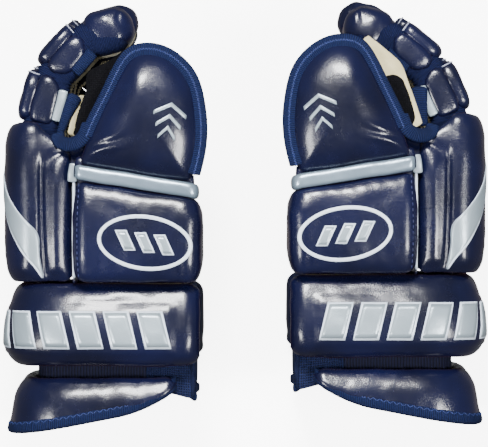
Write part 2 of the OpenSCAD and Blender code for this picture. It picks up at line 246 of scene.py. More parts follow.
def sew(name, side, grid, material, body, replaces=(), ring=False, second=None):
    """A skin over a grid of glove points. Columns always close, rows close where ring is
    true, and doubled points at ends and poles are merged. Its map is in metres, along
    the rows and round the columns. second is another material and the columns it takes."""
    rows, cols = grid.shape[:2]
    p = np.maximum(in_row(side, grid), [-9, -9, 0.0002])
    last = rows if ring else rows - 1
    i, j = (m.ravel() for m in np.indices((last, cols)))
    n, k = (i + 1) % rows, (j + 1) % cols
    faces = np.stack([i * cols + j, n * cols + j, n * cols + k, i * cols + k], -1)
    steps = np.linalg.norm(np.roll(p, -1, 0) - p, axis=-1).mean(1)
    u = np.concatenate([[0], np.cumsum(steps)])
    middle = p[rows // 2]
    v = np.concatenate([[0], np.cumsum(np.linalg.norm(np.roll(middle, -1, 0) - middle, axis=-1))])
    uv = np.stack([u[[i, i + 1, i + 1, i]].T, v[[j, j, j + 1, j + 1]].T], -1)
    mesh = bpy.data.meshes.new(f"{side}_{name}")
    mesh.from_pydata(p.reshape(-1, 3).tolist(), [], faces.tolist())
    mesh.uv_layers.new(name="cut").data.foreach_set("uv", uv.ravel())
    mesh.materials.append(material)
    if second:
        mesh.materials.append(second[0])
        mesh.polygons.foreach_set("material_index", np.asarray(second[1])[j].astype(np.int32))
    piece = joined(mesh, 4e-6)
    if body:
        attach(piece, f"{side}_{body}")
    if replaces:
        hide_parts(*(f"{side}_{r}" for r in replaces))
    return piece


class Wire:
    """One socket of a material's nodes. + and * add Math nodes, and node() adds any other."""

    def __init__(self, tree, socket=None):
        self.tree, self.socket = tree, socket

    def node(self, kind, settings, inputs, output=0):
        """A node of a kind: its settings first, then its sockets' values or links."""
        n = self.tree.nodes.new("ShaderNode" + kind)
        for key, value in settings.items():
            setattr(n, key, value)
        for key, value in inputs.items():
            if isinstance(value, Wire):
                self.tree.links.new(value.socket, n.inputs[key])
            else:
                n.inputs[key].default_value = value
        return Wire(self.tree, n.outputs[output])

    def place(self):
        """The piece's own coordinates in metres."""
        return self.node("TexCoord", {}, {}, "Object")

    def noise(self, scale, **more):
        """Cloudy noise read at this place."""
        return self.node("TexNoise", {}, {"Vector": self, "Scale": scale, **more}, "Fac")

    def cells(self, scale, feature="F1", **more):
        """Distance from this place to the nearest of scattered points."""
        inputs = {"Vector": self, "Scale": scale, **more}
        return self.node("TexVoronoi", {"feature": feature}, inputs, "Distance")

    def maths(self, operation, a, b=0.0):
        return self.node("Math", {"operation": operation}, {0: a, 1: b})

    def __add__(self, other): return self.maths("ADD", self, other)
    def __mul__(self, other): return self.maths("MULTIPLY", self, other)

    def step(self, low, high):
        """0 below low and 1 above high, straight between."""
        return self.node("MapRange", {}, {"Value": self, "From Min": low, "From Max": high})

    def mix(self, a, b):
        """Colour a where this is 0 and b where it is 1."""
        return self.node("Mix", {"data_type": "RGBA"}, {0: self, 6: a, 7: b}, 2)


def rgb(*screen):
    """A screen colour from 0 to 255 as a linear one."""
    c = np.array(screen) / 255
    return (*np.where(c <= 0.04, c / 12.92, ((c + 0.055) / 1.055) ** 2.4), 1.0)


def finish_of(name, build, **fixed):
    """A material from a build function, which gets a Wire and returns the colour, the
    roughness, the height for the bump and the bump's depth in metres. The fixed values
    go straight on the shader's own sockets."""
    material = bpy.data.materials.new(name)
    material.use_nodes = True
    tree = material.node_tree
    shader = tree.nodes["Principled BSDF"]
    colour, rough, height, depth = build(Wire(tree))
    tree.links.new(colour.socket, shader.inputs["Base Color"])
    tree.links.new(rough.socket, shader.inputs["Roughness"])
    bump = colour.node("Bump", {}, {"Strength": 1.0, "Distance": depth, "Height": height})
    tree.links.new(bump.socket, shader.inputs["Normal"])
    for key, value in fixed.items():
        shader.inputs[key.replace("_", " ")].default_value = value
    return material


def coated(light, dark, rough, grain=1.0):
    """Coated leather: pebbled grain of about a millimetre in the bump, slow shifts of
    tone between two colours, and rubbed spots that are duller and a little paler."""
    def build(w):
        place = w.place()
        grains = place.cells(950.0, "SMOOTH_F1", Smoothness=0.6)
        creases = place.noise(140.0, Detail=3.0)
        clouds = place.noise(16.0, Detail=4.0)
        rubbed = place.noise(38.0, Detail=6.0, Roughness=0.7).step(0.56, 0.74)
        tone = (clouds.step(0.3, 0.7) * 0.75 + rubbed * 0.25).mix(rgb(*dark), rgb(*light))
        dull = rubbed * 0.08 + creases * 0.08 + (rough - 0.04)
        return tone, dull, grains * (0.3 * grain) + creases * 0.6, 0.0003
    return build


# The constant reddish sheen on the navy leather is a painted warm reflection at its grazing rims.
navy_leather = finish_of(
    "navy coated leather", coated((12, 16, 47), (6, 8, 25), 0.26),
    Coat_Weight=0.25, Coat_Roughness=0.13, Specular_IOR_Level=0.28,
    Sheen_Weight=0.03, Sheen_Tint=(0.6, 0.25, 0.25, 1), Sheen_Roughness=0.4)
silver_leather = finish_of(
    "silver coated leather", coated((150, 163, 171), (126, 139, 147), 0.34, 0.5),
    Metallic=0.35, Coat_Weight=0.3, Coat_Roughness=0.25)
white_print = finish_of("white print", coated((206, 217, 229), (188, 200, 214), 0.4, 0.4), Coat_Weight=0.2)

cuff = Panel([(77.5, 150), (-80.5, 150), (-80.5, 0), (77.5, 0)], 50, 12, 6.5, 72,
             ends=13, corner=9, shape=(2.3, 3.2), rows=130, cols=56)
cy = cuff.grid[..., 1]
cuff.shift(-6 * ease(cy, 22, 74) - 2 * ease(-cy, -16, -5))
raised = (ease(cuff.s, 20, 23) * ease(-cuff.s, -cuff.far + 20, -cuff.far + 23))[:, None]
raised = raised * ease(cy, 15, 17.5) * ease(-cy, -56, -53.5)
cuff.push(1.1 * raised * (cuff.a > 0.2) + 0.7 * ripple(cuff.grid, 60, 1) + 0.25 * ripple(cuff.grid, 18, 2))
bar_pitch, bar_w, bar_low, bar_high, bar_slant = 26.4, 20.5, 21, 50, 7
first_bar, after_bars = 36, 30
bar_count = int((cuff.far - after_bars - first_bar) // bar_pitch) + 1
bar_y = np.linspace(bar_low, bar_high, 8)
slant = bar_slant * (bar_y - bar_low) / (bar_high - bar_low) - bar_slant / 2
for side in SIDES:
    sew("cuff_roll_cover", side, cuff.grid, navy_leather, "hand", ["cuff_roll"])
    for n in range(bar_count):
        middle = first_bar + n * bar_pitch
        for name, spare, lift, finish in (("white", 0, 0.5, white_print), ("silver", 1.5, 1.0, silver_leather)):
            y = bar_low + spare + (bar_y - bar_low) * (1 - 2 * spare / (bar_high - bar_low))
            edges = [np.stack([middle + w * (bar_w / 2 - spare) + slant, y], -1) for w in (-1, 1)]
            bar = cuff.at(*patch(*edges, lift))
            sew(f"cuff_bar_{name}_{n}", side, bar, finish, "hand")

# ---- Back pad ----
# Foam under navy leather wraps from the thumb-side seam round the back of the hand to
# the little-finger side. A sewn channel parts a slim inner roll from the main block,
# and a tapering silver panel with a white edge is set into its outer corner.


def knuckle_edge(s, p):
    """Where the back pad ends over the knuckles, cut back on top towards the thumb."""
    cut = np.where(p[:, 1] > 100, np.clip(p[:, 0] + 52, 0, 40) * 0.78, 0)
    return 197 + np.interp(p[:, 1], [20, 48, 80, 110], [-5, 1, 3, 0]) - cut


back = Panel([(-23.8, 141), (-78, 141), (-78, 0), (-38, 0)], 34,
             lambda s, p: np.interp(s, [0, 30, 60, 150, 200], [6, 6, 9, 9, 10]),
             73, knuckle_edge, ends=7, corner=6, shape=(2.3, 4.6), rows=150, cols=64)
by, bs = back.grid[..., 1], back.s[:, None]
channel = 21 + 2.5 * np.sin((by - 80) / 42)
padding = (2.6 * hump(bs, 11.5, 6) * ease(-by, -176, -150)
           - 3.2 * hump(bs, channel, 1.8) * ease(-by, -170, -158) + 2.2 * hump(bs, 36, 11)
           - 2.2 * hump(by, 179 - 0.5 * bs, 3.2) * ease(-bs, -34, -22)
           + 1.6 * hump(bs, 100, 45) - 2.6 * hump(bs, 88, 2.2) - 2.6 * hump(bs, 128, 2.2))
back.push(padding * (back.a > 0) * ease(by, 74, 84)
          + 0.6 * ripple(back.grid, 45, 3) + 0.25 * ripple(back.grid, 14, 4))
inner_edge = route([(21.5, 76), (25, 94), (24.5, 111), (35, 121), (46, 134), (60, 151), (78, 168)], 8, 40)
outer_edge = route([(23.5, 76), (29, 85), (37, 94), (51, 115), (66, 140), (73, 155), (79, 169)], 8, 40)
away = unit(outer_edge - inner_edge)
for side in SIDES:
    sew("back_pad_cover", side, back.grid, navy_leather, "hand", ["back_pad"])
    swoosh = back.at(*patch(inner_edge, outer_edge, 0.5, 11))
    sew("swoosh_white", side, swoosh, white_print, "hand")
    swoosh = back.at(*patch(inner_edge + 0.3 * away, outer_edge - 1.5 * away, 0.9, 11))
    sew("swoosh_silver", side, swoosh, silver_leather, "hand")

# ---- Thumb-side roll ----
# The second padded roll covers the base of the thumb, from the seam to a lip that
# turns down at the palm. An oval silver ring is printed on it round three plain bars.
band_slope = math.tan(math.radians(9))


def over(y_at):
    """The y of a line that slopes with the silver band, from its y at x = -18."""
    return lambda s, p: y_at - (np.clip(p[:, 0], -20, 78) + 18) * band_slope


roll = Panel([(78, 106), (78, 157), (-20, 157)], 15, lambda s, p: np.interp(s, [0, 45, 60], [6.5, 7, 9]),
             73, over(152.6), ends=9, corner=8, shape=(2.5, 4), rows=90, cols=56)
ry, rs = roll.grid[..., 1], roll.s[:, None]
roll.push((1.8 * hump(ry, 108, 30) - 1.2 * hump(rs, 62, 4) * hump(ry, 78, 10)) * (roll.a > 0.2)
          + 0.5 * ripple(roll.grid, 40, 5) + 0.25 * ripple(roll.grid, 13, 6))


def ring_edges(middle, radii, stroke, tilt, count=72):
    """Inner and outer edge of an oval ring, as closed lines."""
    t = np.linspace(0, 2 * np.pi, count)
    turn = np.array([[math.cos(tilt), math.sin(tilt)], [-math.sin(tilt), math.cos(tilt)]])
    return [np.stack([np.cos(t) * (radii[0] + g), np.sin(t) * (radii[1] + g)], -1) @ turn + middle
            for g in (-stroke / 2, stroke / 2)]


oval_middle, oval_radii, oval_stroke, oval_tilt = (88.5, 104), (35.5, 20), 3.0, 0.12
oval_bar_step, oval_bar_half, oval_bar_reach, oval_bar_slant = 15, 4.6, 8, 0.45
for side in SIDES:
    sew("side_roll_cover", side, roll.grid, navy_leather, "hand", ["side_roll"])
    oval = roll.at(*patch(*ring_edges(oval_middle, oval_radii, oval_stroke, oval_tilt), 0.6, 4))
    sew("oval_ring", side, oval, white_print, "hand")
    for n, way in enumerate((-1, 0, 1)):
        x = oval_middle[0] + way * oval_bar_step
        for name, spare, lift, finish in (("white", 0, 0.5, white_print), ("silver", 1.2, 0.9, silver_leather)):
            v = np.linspace(-oval_bar_reach, oval_bar_reach, 6) * (1 - spare / oval_bar_reach)
            y = oval_middle[1] + v + way * oval_bar_step * oval_tilt
            edges = [np.stack([x + w * (oval_bar_half - spare) + oval_bar_slant * v, y], -1) for w in (-1, 1)]
            bar = roll.at(*patch(*edges, lift, 5))
            sew(f"oval_bar_{name}_{n}", side, bar, finish, "hand")

# ---- Silver band and seam ----
# A narrow padded band of silver leather crosses between the roll and the thumb. A pale
# piping runs up the seam beside the back pad, on a web that closes the seam, and ends
# in a small silver tab. A row of navy stitches holds the roll beside it.
band = Panel([(76.5, 128), (76.5, 156.5), (-19.5, 156.5)], 8, 3.6, over(152.9), over(164.6),
             ends=4, corner=2, shape=(2.6, 2.8), rows=70, cols=32)
band.push(0.3 * ripple(band.grid, 22, 7))
satin_silver = finish_of("satin silver leather", coated((134, 150, 164), (108, 124, 138), 0.3, 0.4),
                         Metallic=0.55, Coat_Weight=0.2, Coat_Roughness=0.2)


def cord(points, side_way, width, height, count=60, radius=8, shape=(3, 2.4), cols=24, ends=3):
    """A strip carried along a line in space: at each station a superellipse, width across
    and height thick, stands square to the line, its width along side_way. ends is the
    length over which it thins to nothing at both ends, on a quarter circle. The width
    may be one for each station, as a column."""
    p = route(points, radius, count)
    d = unit(np.gradient(p, axis=0))
    across = np.asarray(side_way(p) if callable(side_way) else side_way, float) + 0 * p
    across = unit(across - (across * d).sum(-1, keepdims=True) * d)
    up = np.cross(d, across)
    s = travelled(p)
    thin = np.sqrt(1 - (1 - np.clip(np.minimum(s, s[-1] - s) / ends, 0, 1)) ** 2)[:, None]
    a, b = superellipse(cols, shape)
    a, b = width / 2 * a * thin, height / 2 * b * thin
    return p[:, None] + across[:, None] * a[..., None] + up[:, None] * b[..., None]


def sew_threads(name, side, starts, ends, width, material, body):
    """A seam's stitches as one mesh, each a small closed spindle between two points."""
    starts, ends = np.asarray(starts, float), np.asarray(ends, float)
    t, fat = np.array([0, 0.12, 0.5, 0.88, 1]), np.array([0, 0.8, 1, 0.8, 0])
    phi = np.linspace(0, 2 * np.pi, 6, endpoint=False)[:, None]
    d = unit(ends - starts)
    across = unit(np.cross(d, [0, 0, 1.0]))
    up = np.cross(across, d)
    middle = starts[:, None] + (ends - starts)[:, None] * t[:, None]
    turned = np.cos(phi) * across[:, None, None] + np.sin(phi) * up[:, None, None]
    grids = middle[:, :, None] + width / 2 * fat[:, None, None] * turned
    count, rows, cols = grids.shape[:3]
    g, i, j = (m.ravel() for m in np.indices((count, rows - 1, cols)))
    at = lambda r, c: g * rows * cols + r * cols + c % cols
    faces = np.stack([at(i, j), at(i + 1, j), at(i + 1, j + 1), at(i, j + 1)], -1)
    mesh = bpy.data.meshes.new(f"{side}_{name}")
    mesh.from_pydata(in_row(side, grids).reshape(-1, 3).tolist(), [], faces.tolist())
    mesh.materials.append(material)
    piece = joined(mesh, 1e-6)
    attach(piece, f"{side}_{body}")


def spun(light, dark):
    """Thread: two tones twisted along it, with a fine bump across."""
    def build(w):
        twist = w.place().noise(900.0, Detail=2.0)
        return twist.step(0.35, 0.65).mix(rgb(*dark), rgb(*light)), twist * 0.2 + 0.5, twist, 0.0002
    return build


pale_thread = finish_of("pale thread", spun((150, 154, 168), (96, 100, 118)))
navy_thread = finish_of("navy thread", spun((26, 34, 82), (10, 14, 40)))
blue_thread = finish_of("blue thread", spun((34, 54, 116), (18, 28, 70)))
stitch_pitch, stitch_reach = 4.4, 2.7
for side in SIDES:
    sew("silver_band_cover", side, band.grid, satin_silver, "hand", ["silver_band"])
    strip = cord([(-19, 151, 145.5), (72, 151 - 91 * band_slope, 145.5)], (0, 1, 0), 18, 5, 50,
                 shape=(4, 3), cols=20)
    sew("band_backing", side, strip, navy_leather, "hand")
    strip = cord([(-21.4, 71, 128), (-21.6, 110, 128), (-21.4, 163, 128)], (1, 0, 0), 2.2, 30,
                 shape=(6, 6), ends=0.8)
    sew("seam_web", side, strip, navy_leather, "hand")
    strip = cord([(-21.2, 75.5, 143.5), (-21.6, 110, 144.5), (-21.2, 152, 144)], (1, 0, 0), 2.4, 2.4,
                 shape=(2, 2), cols=12, ends=1.2)
    sew("seam_cord", side, strip, white_print, "hand", ["seam_piping"])
    strip = cord([(-22.5, 151, 145), (-22, 158, 147), (-20.5, 166, 146.5)], (1, 0.1, 0), 7.5, 3.4, 24,
                 shape=(4, 2.4), cols=20, ends=1.5)
    sew("seam_tab", side, strip, silver_leather, "hand")
    y = np.arange(77, 150, stitch_pitch)
    starts, ends = (roll.at(roll.far - 3.4 + 0 * y, y + on, 0.15) for on in (0, stitch_reach))
    sew_threads("roll_stitches", side, starts, ends, 0.9, navy_thread, "hand")

# ---- Thumb ----
# The thumb guard is a domed foam pad in navy leather over a plastic splint, bound all
# round with ribbed tape held by a zig-zag seam. Three plain silver chevrons are printed
# on it. Under it hang a leather stall, open at the wrist, and a gusset to the palm, which
# on the left glove is near-black knit as painted shade. A thin near-black sheet under the
# guard's edge paints the shade of the thumb opening.
thumb_y = joint_at["left_thumb_lift"][1] * 1000 - in_row("left", [0, 0, 0])[1] * 1000 + 0.3
thumb_root = np.array([-18, thumb_y, 0])
thumb_lean = math.radians(9)


def on_thumb(grid):
    """Thumb measures (across from the seam's start, out from it, height) as glove points."""
    u, v, z = (grid[..., k] for k in range(3))
    c, s = math.cos(thumb_lean), math.sin(thumb_lean)
    return thumb_root + np.stack([u * c + v * s, v * c - u * s, z], -1)


guard_size = [92, 102]
guard_corners = np.array([
    [-0.01, 0.03], [-0.01, -0.03], [0.03, -0.045], [0.5, -0.05], [0.95, -0.045], [1.0, -0.03],
    [1.01, 0.05], [1.025, 0.2], [1.02, 0.34], [0.99, 0.5], [0.9, 0.74], [0.79, 0.865],
    [0.62, 0.955], [0.45, 0.975], [0.285, 0.92], [0.205, 0.74], [0.15, 0.56], [0.05, 0.29]]) * guard_size


def closed_line(points, count, rounds=3):
    """A smooth closed line by cutting the corners of a polygon several times over, as
    evenly spaced points, the first not repeated."""
    p = np.asarray(points, float)
    for _ in range(rounds):
        q = np.roll(p, -1, 0)
        p = np.stack([0.75 * p + 0.25 * q, 0.25 * p + 0.75 * q], 1).reshape(-1, p.shape[1])
    return spaced(np.concatenate([p, p[:1]]), count, closed=True)


def cushion(outline, middle, low, high, rise, draw=1.0, rows=26):
    """A closed cushion over an outline. Rings shrink to the middle: the top one rises by
    (1 - share to the power rise[0]) to the power rise[1], the underside by draw of that."""
    share = np.sin(np.linspace(0, np.pi / 2, rows))
    lift = (1 - share ** rise[0]) ** rise[1]
    rings = np.concatenate([share, share[::-1]])
    z = np.concatenate([low + (high - low) * lift, low - draw * lift[::-1]])
    flat = middle + rings[:, None, None] * (outline - middle)
    return np.concatenate([flat, np.broadcast_to(z[:, None, None], flat.shape[:2] + (1,))], -1), rings


GUARD_POINTS, GUARD_RINGS, GUARD_SHARE, TAPE_SHARE = 120, 34, 0.93, 0.942
guard_line = closed_line(guard_corners, GUARD_POINTS)
guard_middle = np.array([47.0, 46.0])
guard_rim = (guard_line - guard_middle) * GUARD_SHARE
guard, rings = cushion(guard_middle + guard_rim, guard_middle, 150.5, 166.5, (2.5, 0.62), 6, GUARD_RINGS)
gu, gv = guard[..., 0], guard[..., 1]
top_side = (np.arange(len(guard)) < GUARD_RINGS)[:, None]
wrinkle = (1.1 * hump(gv, 14 + 0.35 * (gu - 20), 3) * ease(-gu, -52, -12)
           + 0.9 * hump(gv, 22 + 0.5 * (gu - 18), 2.6) * ease(-gu, -44, -8)
           - 1.3 * hump(gv, 18 + 0.42 * (gu - 20), 2.4) * ease(-gu, -46, -10))
crown = wrinkle + 1.2 * hump(gv, 60, 24) * hump(gu, 36, 10)
guard[..., 2] += top_side * (ease(1 - rings, 0.03, 0.15)[:, None] * crown + 0.35 * ripple(guard, 26, 8))


def on_guard(u, v, lift):
    """The point on the guard's top at thumb measures u and v: its ring is its share of
    the way from the middle to the rim in its own direction."""
    p = np.stack([u, v], -1) - guard_middle
    angle = np.arctan2(guard_rim[:, 1], guard_rim[:, 0])
    order = np.argsort(angle)
    angle = angle[order]
    theta = np.arctan2(p[..., 1], p[..., 0])
    far = np.interp(theta, angle, np.linalg.norm(guard_rim, axis=1)[order], period=2 * np.pi)
    turns = np.r_[angle - 2 * np.pi, angle, angle + 2 * np.pi]
    index = np.interp(theta, turns, np.arange(-GUARD_POINTS, 2 * GUARD_POINTS))
    way = 1 if np.median(np.diff(order)) > 0 else -1
    row = np.interp(np.linalg.norm(p, axis=-1) / far, rings[:GUARD_RINGS], np.arange(GUARD_RINGS))
    found = between(guard, row, (order[0] + way * index) % GUARD_POINTS)
    return found + np.stack([0 * u, 0 * u, lift], -1)


def webbing(light, dark, rib=1.5):
    """Woven tape: ribs that cross it every rib millimetres and fine yarns along it, read
    from the piece's own map in metres. Its tone follows the bump: partly the weave's own pattern,
    and darker between the ribs as painted shade in the grooves."""
    def build(w):
        along = w.node("SeparateXYZ", {}, {"Vector": w.node("UVMap", {}, {})})
        across = Wire(w.tree, along.socket.node.outputs[1])
        ribs, yarns = (way.maths("SINE", way * (2000 * math.pi / every))
                       for way, every in ((along, rib), (across, 0.9)))
        fuzz = w.place().noise(500.0, Detail=3.0)
        height = ribs * 0.5 + yarns * 0.22 + fuzz * 0.5
        return height.step(-0.45, 0.75).mix(rgb(*dark), rgb(*light)), fuzz * 0.15 + 0.6, height, 0.0004
    return build


tape_finish = finish_of("ribbed navy tape", webbing((13, 25, 62), (3, 6, 19)), Specular_IOR_Level=0.12)


def suede(light, dark):
    """Sueded leather: soft mottling that also sets the bump, so it is darker where the bump dips, a fine nap
    and broad paler worn patches.
    """
    def build(w):
        place = w.place()
        nap = place.noise(1100.0, Detail=3.0)
        mottle = place.noise(45.0, Detail=5.0, Roughness=0.65)
        worn = place.noise(14.0, Detail=2.0)
        tone = mottle.step(0.3, 0.7) * 0.7 + worn.step(0.4, 0.6) * 0.3
        return tone.mix(rgb(*dark), rgb(*light)), nap * 0.15 + 0.72, nap * 0.5 + mottle, 0.0006
    return build


def knit(light, dark):
    """Knit lining: rows of small loops every two millimetres, on the object's own place."""
    def build(w):
        loops = w.place().cells(620.0, Randomness=0.35)
        fuzz = w.place().noise(300.0, Detail=3.0)
        tone = (loops * 1.2).step(0.1, 0.8).mix(rgb(*light), rgb(*dark))
        return tone, fuzz * 0.1 + 0.85, loops * -1.0, 0.0005
    return build


# Near-black knit: the real lining of the back of the hand, and also the thin sheets that paint shade at the
# thumb opening and on the left gusset.
knit_lining_and_shade = finish_of("dark knit lining and painted shade", knit((12, 12, 15), (4, 4, 6)), Specular_IOR_Level=0.05)
palm_suede = finish_of("cream palm suede", suede((202, 192, 150), (158, 147, 106)),
                       Sheen_Weight=0.2, Sheen_Roughness=0.6)
tape_line = guard_middle + (guard_line - guard_middle) * TAPE_SHARE
tape_from, tape_to = (int(np.argmin(np.linalg.norm(guard_line - end, axis=1))) for end in ([3, 21], [93, 2]))
order = np.arange(tape_from, tape_from - GUARD_POINTS, -1) % GUARD_POINTS
order = order[:np.argmax(order == tape_to) + 1]
tape_path = np.concatenate([tape_line[order], np.full((len(order), 1), 153.0)], 1)


def square_to(p):
    """The flat direction square to a line of points, for a tape laid beside it."""
    d = np.gradient(p, axis=0)
    return np.stack([-d[:, 1], d[:, 0], 0 * d[:, 0]], -1)


tape = cord(tape_path, square_to, 12.5, 5.2, 260, radius=2, shape=(3.2, 2.3), cols=22, ends=1.5)
ZIGS = 200
zig = route(tape_path, 2, ZIGS)
zig_out = unit(square_to(zig))
zig_points = zig + zig_out * (np.where(np.arange(ZIGS) % 2, 1.5, -0.3) + 0.6)[:, None] + [0, 0, 2.45]
stall = Panel([(23, 149), (23, 134), (69, 134), (69, 149)], 11, 1.9, 2, 88,
              ends=2, corner=1, shape=(2.2, 5), rows=60, cols=36)
squeeze = np.sqrt(np.clip(1 - (np.clip(stall.grid[..., 1], 0, 95) / 96) ** 3.2, 0.03, 1))
stall.grid[..., 0] = 46 + (stall.grid[..., 0] - 46) * (squeeze * 0.97 + 0.05)
stall.grid[..., 2] = 149 + (stall.grid[..., 2] - 149) * (0.55 + 0.45 * squeeze)
stall.push(0.5 * ripple(stall.grid, 14, 9))


def bend_between(piece, side, bodies, start, end):
    """Bakes a piece's place into its mesh. The two points are turned into row-frame metres and not used
    further, and bodies is not used.
    """
    start, end = (tuple(in_row(side, p)) for p in (start, end))
    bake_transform(piece)
    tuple(start)
    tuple(end)


# The left gusset is near-black knit as painted shade, where the grip opening lies in shadow; the right gusset
# is cream suede.
flap_w, flap_more = {"left": 24, "right": 33}, {"left": 15, "right": 5}
flap_finish_and_shade = {"left": knit_lining_and_shade, "right": palm_suede}
chevron_spans, chevron_pitch, chevron_half = (17, 13, 9), 9.0, 1.7
for side in SIDES:
    sew("thumb_guard_cover", side, on_thumb(guard), navy_leather, "thumb",
        ["thumb_guard"])
    root = on_thumb(cord([(-3, -3, 147), (46, -3, 148.4), (93, -3, 147)], (0, 1, 0), 17, 6))
    root = sew("thumb_root", side, root, navy_leather, None)
    bend_between(root, side, ("hand", "thumb"), *(on_thumb(np.array([46.0, v, 150])) for v in (-8, 6)))
    sew("thumb_tape", side, on_thumb(tape), tape_finish, "thumb", ["thumb_binding"])
    zigzag = on_thumb(zig_points)
    sew_threads("thumb_zigzag", side, zigzag[:-1], zigzag[1:], 0.55, blue_thread, "thumb")
    widths = flap_w[side] + flap_more[side] * hump(np.linspace(0, 1, 60), 0.6, 0.12)[:, None]
    flap = on_thumb(cord([(4, 18, 144.8), (9, 50, 144.8), (18, 72, 144.8), (33, 88, 145.2)], square_to,
                         widths, 4, radius=14, shape=(5, 2.4), cols=28))
    sew("thumb_gusset", side, flap, flap_finish_and_shade[side], "thumb")
    # A thin near-black knit sheet under the guard's edge is painted shade: it darkens the thumb opening, which
    # lies in shadow.
    shade = on_thumb(cord([(3, 20, 146.9), (4.5, 40, 146.9), (10, 64, 146.9)], square_to, 21, 1.6, 50,
                          radius=10, shape=(2.4, 2.4), ends=10))
    sew("thumb_painted_shade_sheet", side, shade, knit_lining_and_shade, "thumb")
    sew("thumb_stall_skin", side, on_thumb(stall.grid), palm_suede, "thumb", ["thumb_stall"])
    for n, span in enumerate(chevron_spans):
        t = np.linspace(-1, 1, 17)
        u = 66 + span * t * 0.75
        v = 48 - chevron_pitch * n + 8 * (1 - np.abs(t))
        edges = (np.stack([u, v + w * chevron_half], -1) for w in (-1, 1))
        chevron = on_thumb(on_guard(*patch(*edges, 0.6, 3)))
        sew(f"thumb_chevron_{n}", side, chevron, silver_leather, "thumb")

# ---- Fingers ----
# Each finger has three padded lengths of navy leather on its back, sewn on a sleeve of
# navy webbing with a cream palm strip that folds at the joints. A pale piping closes
# the pads, and the index finger has a foam side panel and a silver strip beside it.
FINGERS = ("index", "middle", "ring", "little")
LENGTHS = ("base", "mid", "tip")
curls = {"left": (15, 42, 75), "right": (25, 50, 76)}
lengths = {"index": (41, 38, 39), "middle": (44, 40, 39), "ring": (42, 38, 38), "little": (36, 32, 34)}


def in_glove(side, point):
    """A row-frame point in metres as glove millimetres, the way back from in_row."""
    zero = in_row(side, [0, 0, 0])
    return (np.asarray(point, float) - zero) * 1000 * [1 if side == "left" else -1, 1, 1]


def block(a, l, z, bend=(0, 0), shape=(4, 3.4), rows=30, cols=44, tip=0.0):
    """A plump block in finger measures: depth a, length l and height z. It is a
    superellipsoid with its poles at its two ends, which slant by bend degrees each, and
    tip draws its far end in."""
    eta = np.linspace(-np.pi / 2, np.pi / 2, rows)[:, None]
    girth = power(np.cos(eta), 2 / shape[0]) * (1 - tip * ease(eta, 0, 1.5))
    x, y = (girth * m for m in superellipse(cols, (shape[1], shape[1])))
    t = power(np.sin(eta), 2 / shape[0]) + 0 * x
    depth = (a[0] + a[1]) / 2 + x * (a[1] - a[0]) / 2
    low, high = (l[k] + depth * math.tan(math.radians(bend[k])) for k in (0, 1))
    height = (z[0] + z[1]) / 2 + y * (z[1] - z[0]) / 2
    return np.stack([depth, low + (high - low) * (t + 1) / 2, height], -1)


def plumped(grid, amount, size, seed):
    """A grid with a ripple of its skin."""
    return grid + facing(grid) * (amount * ripple(grid, size, seed))[..., None]


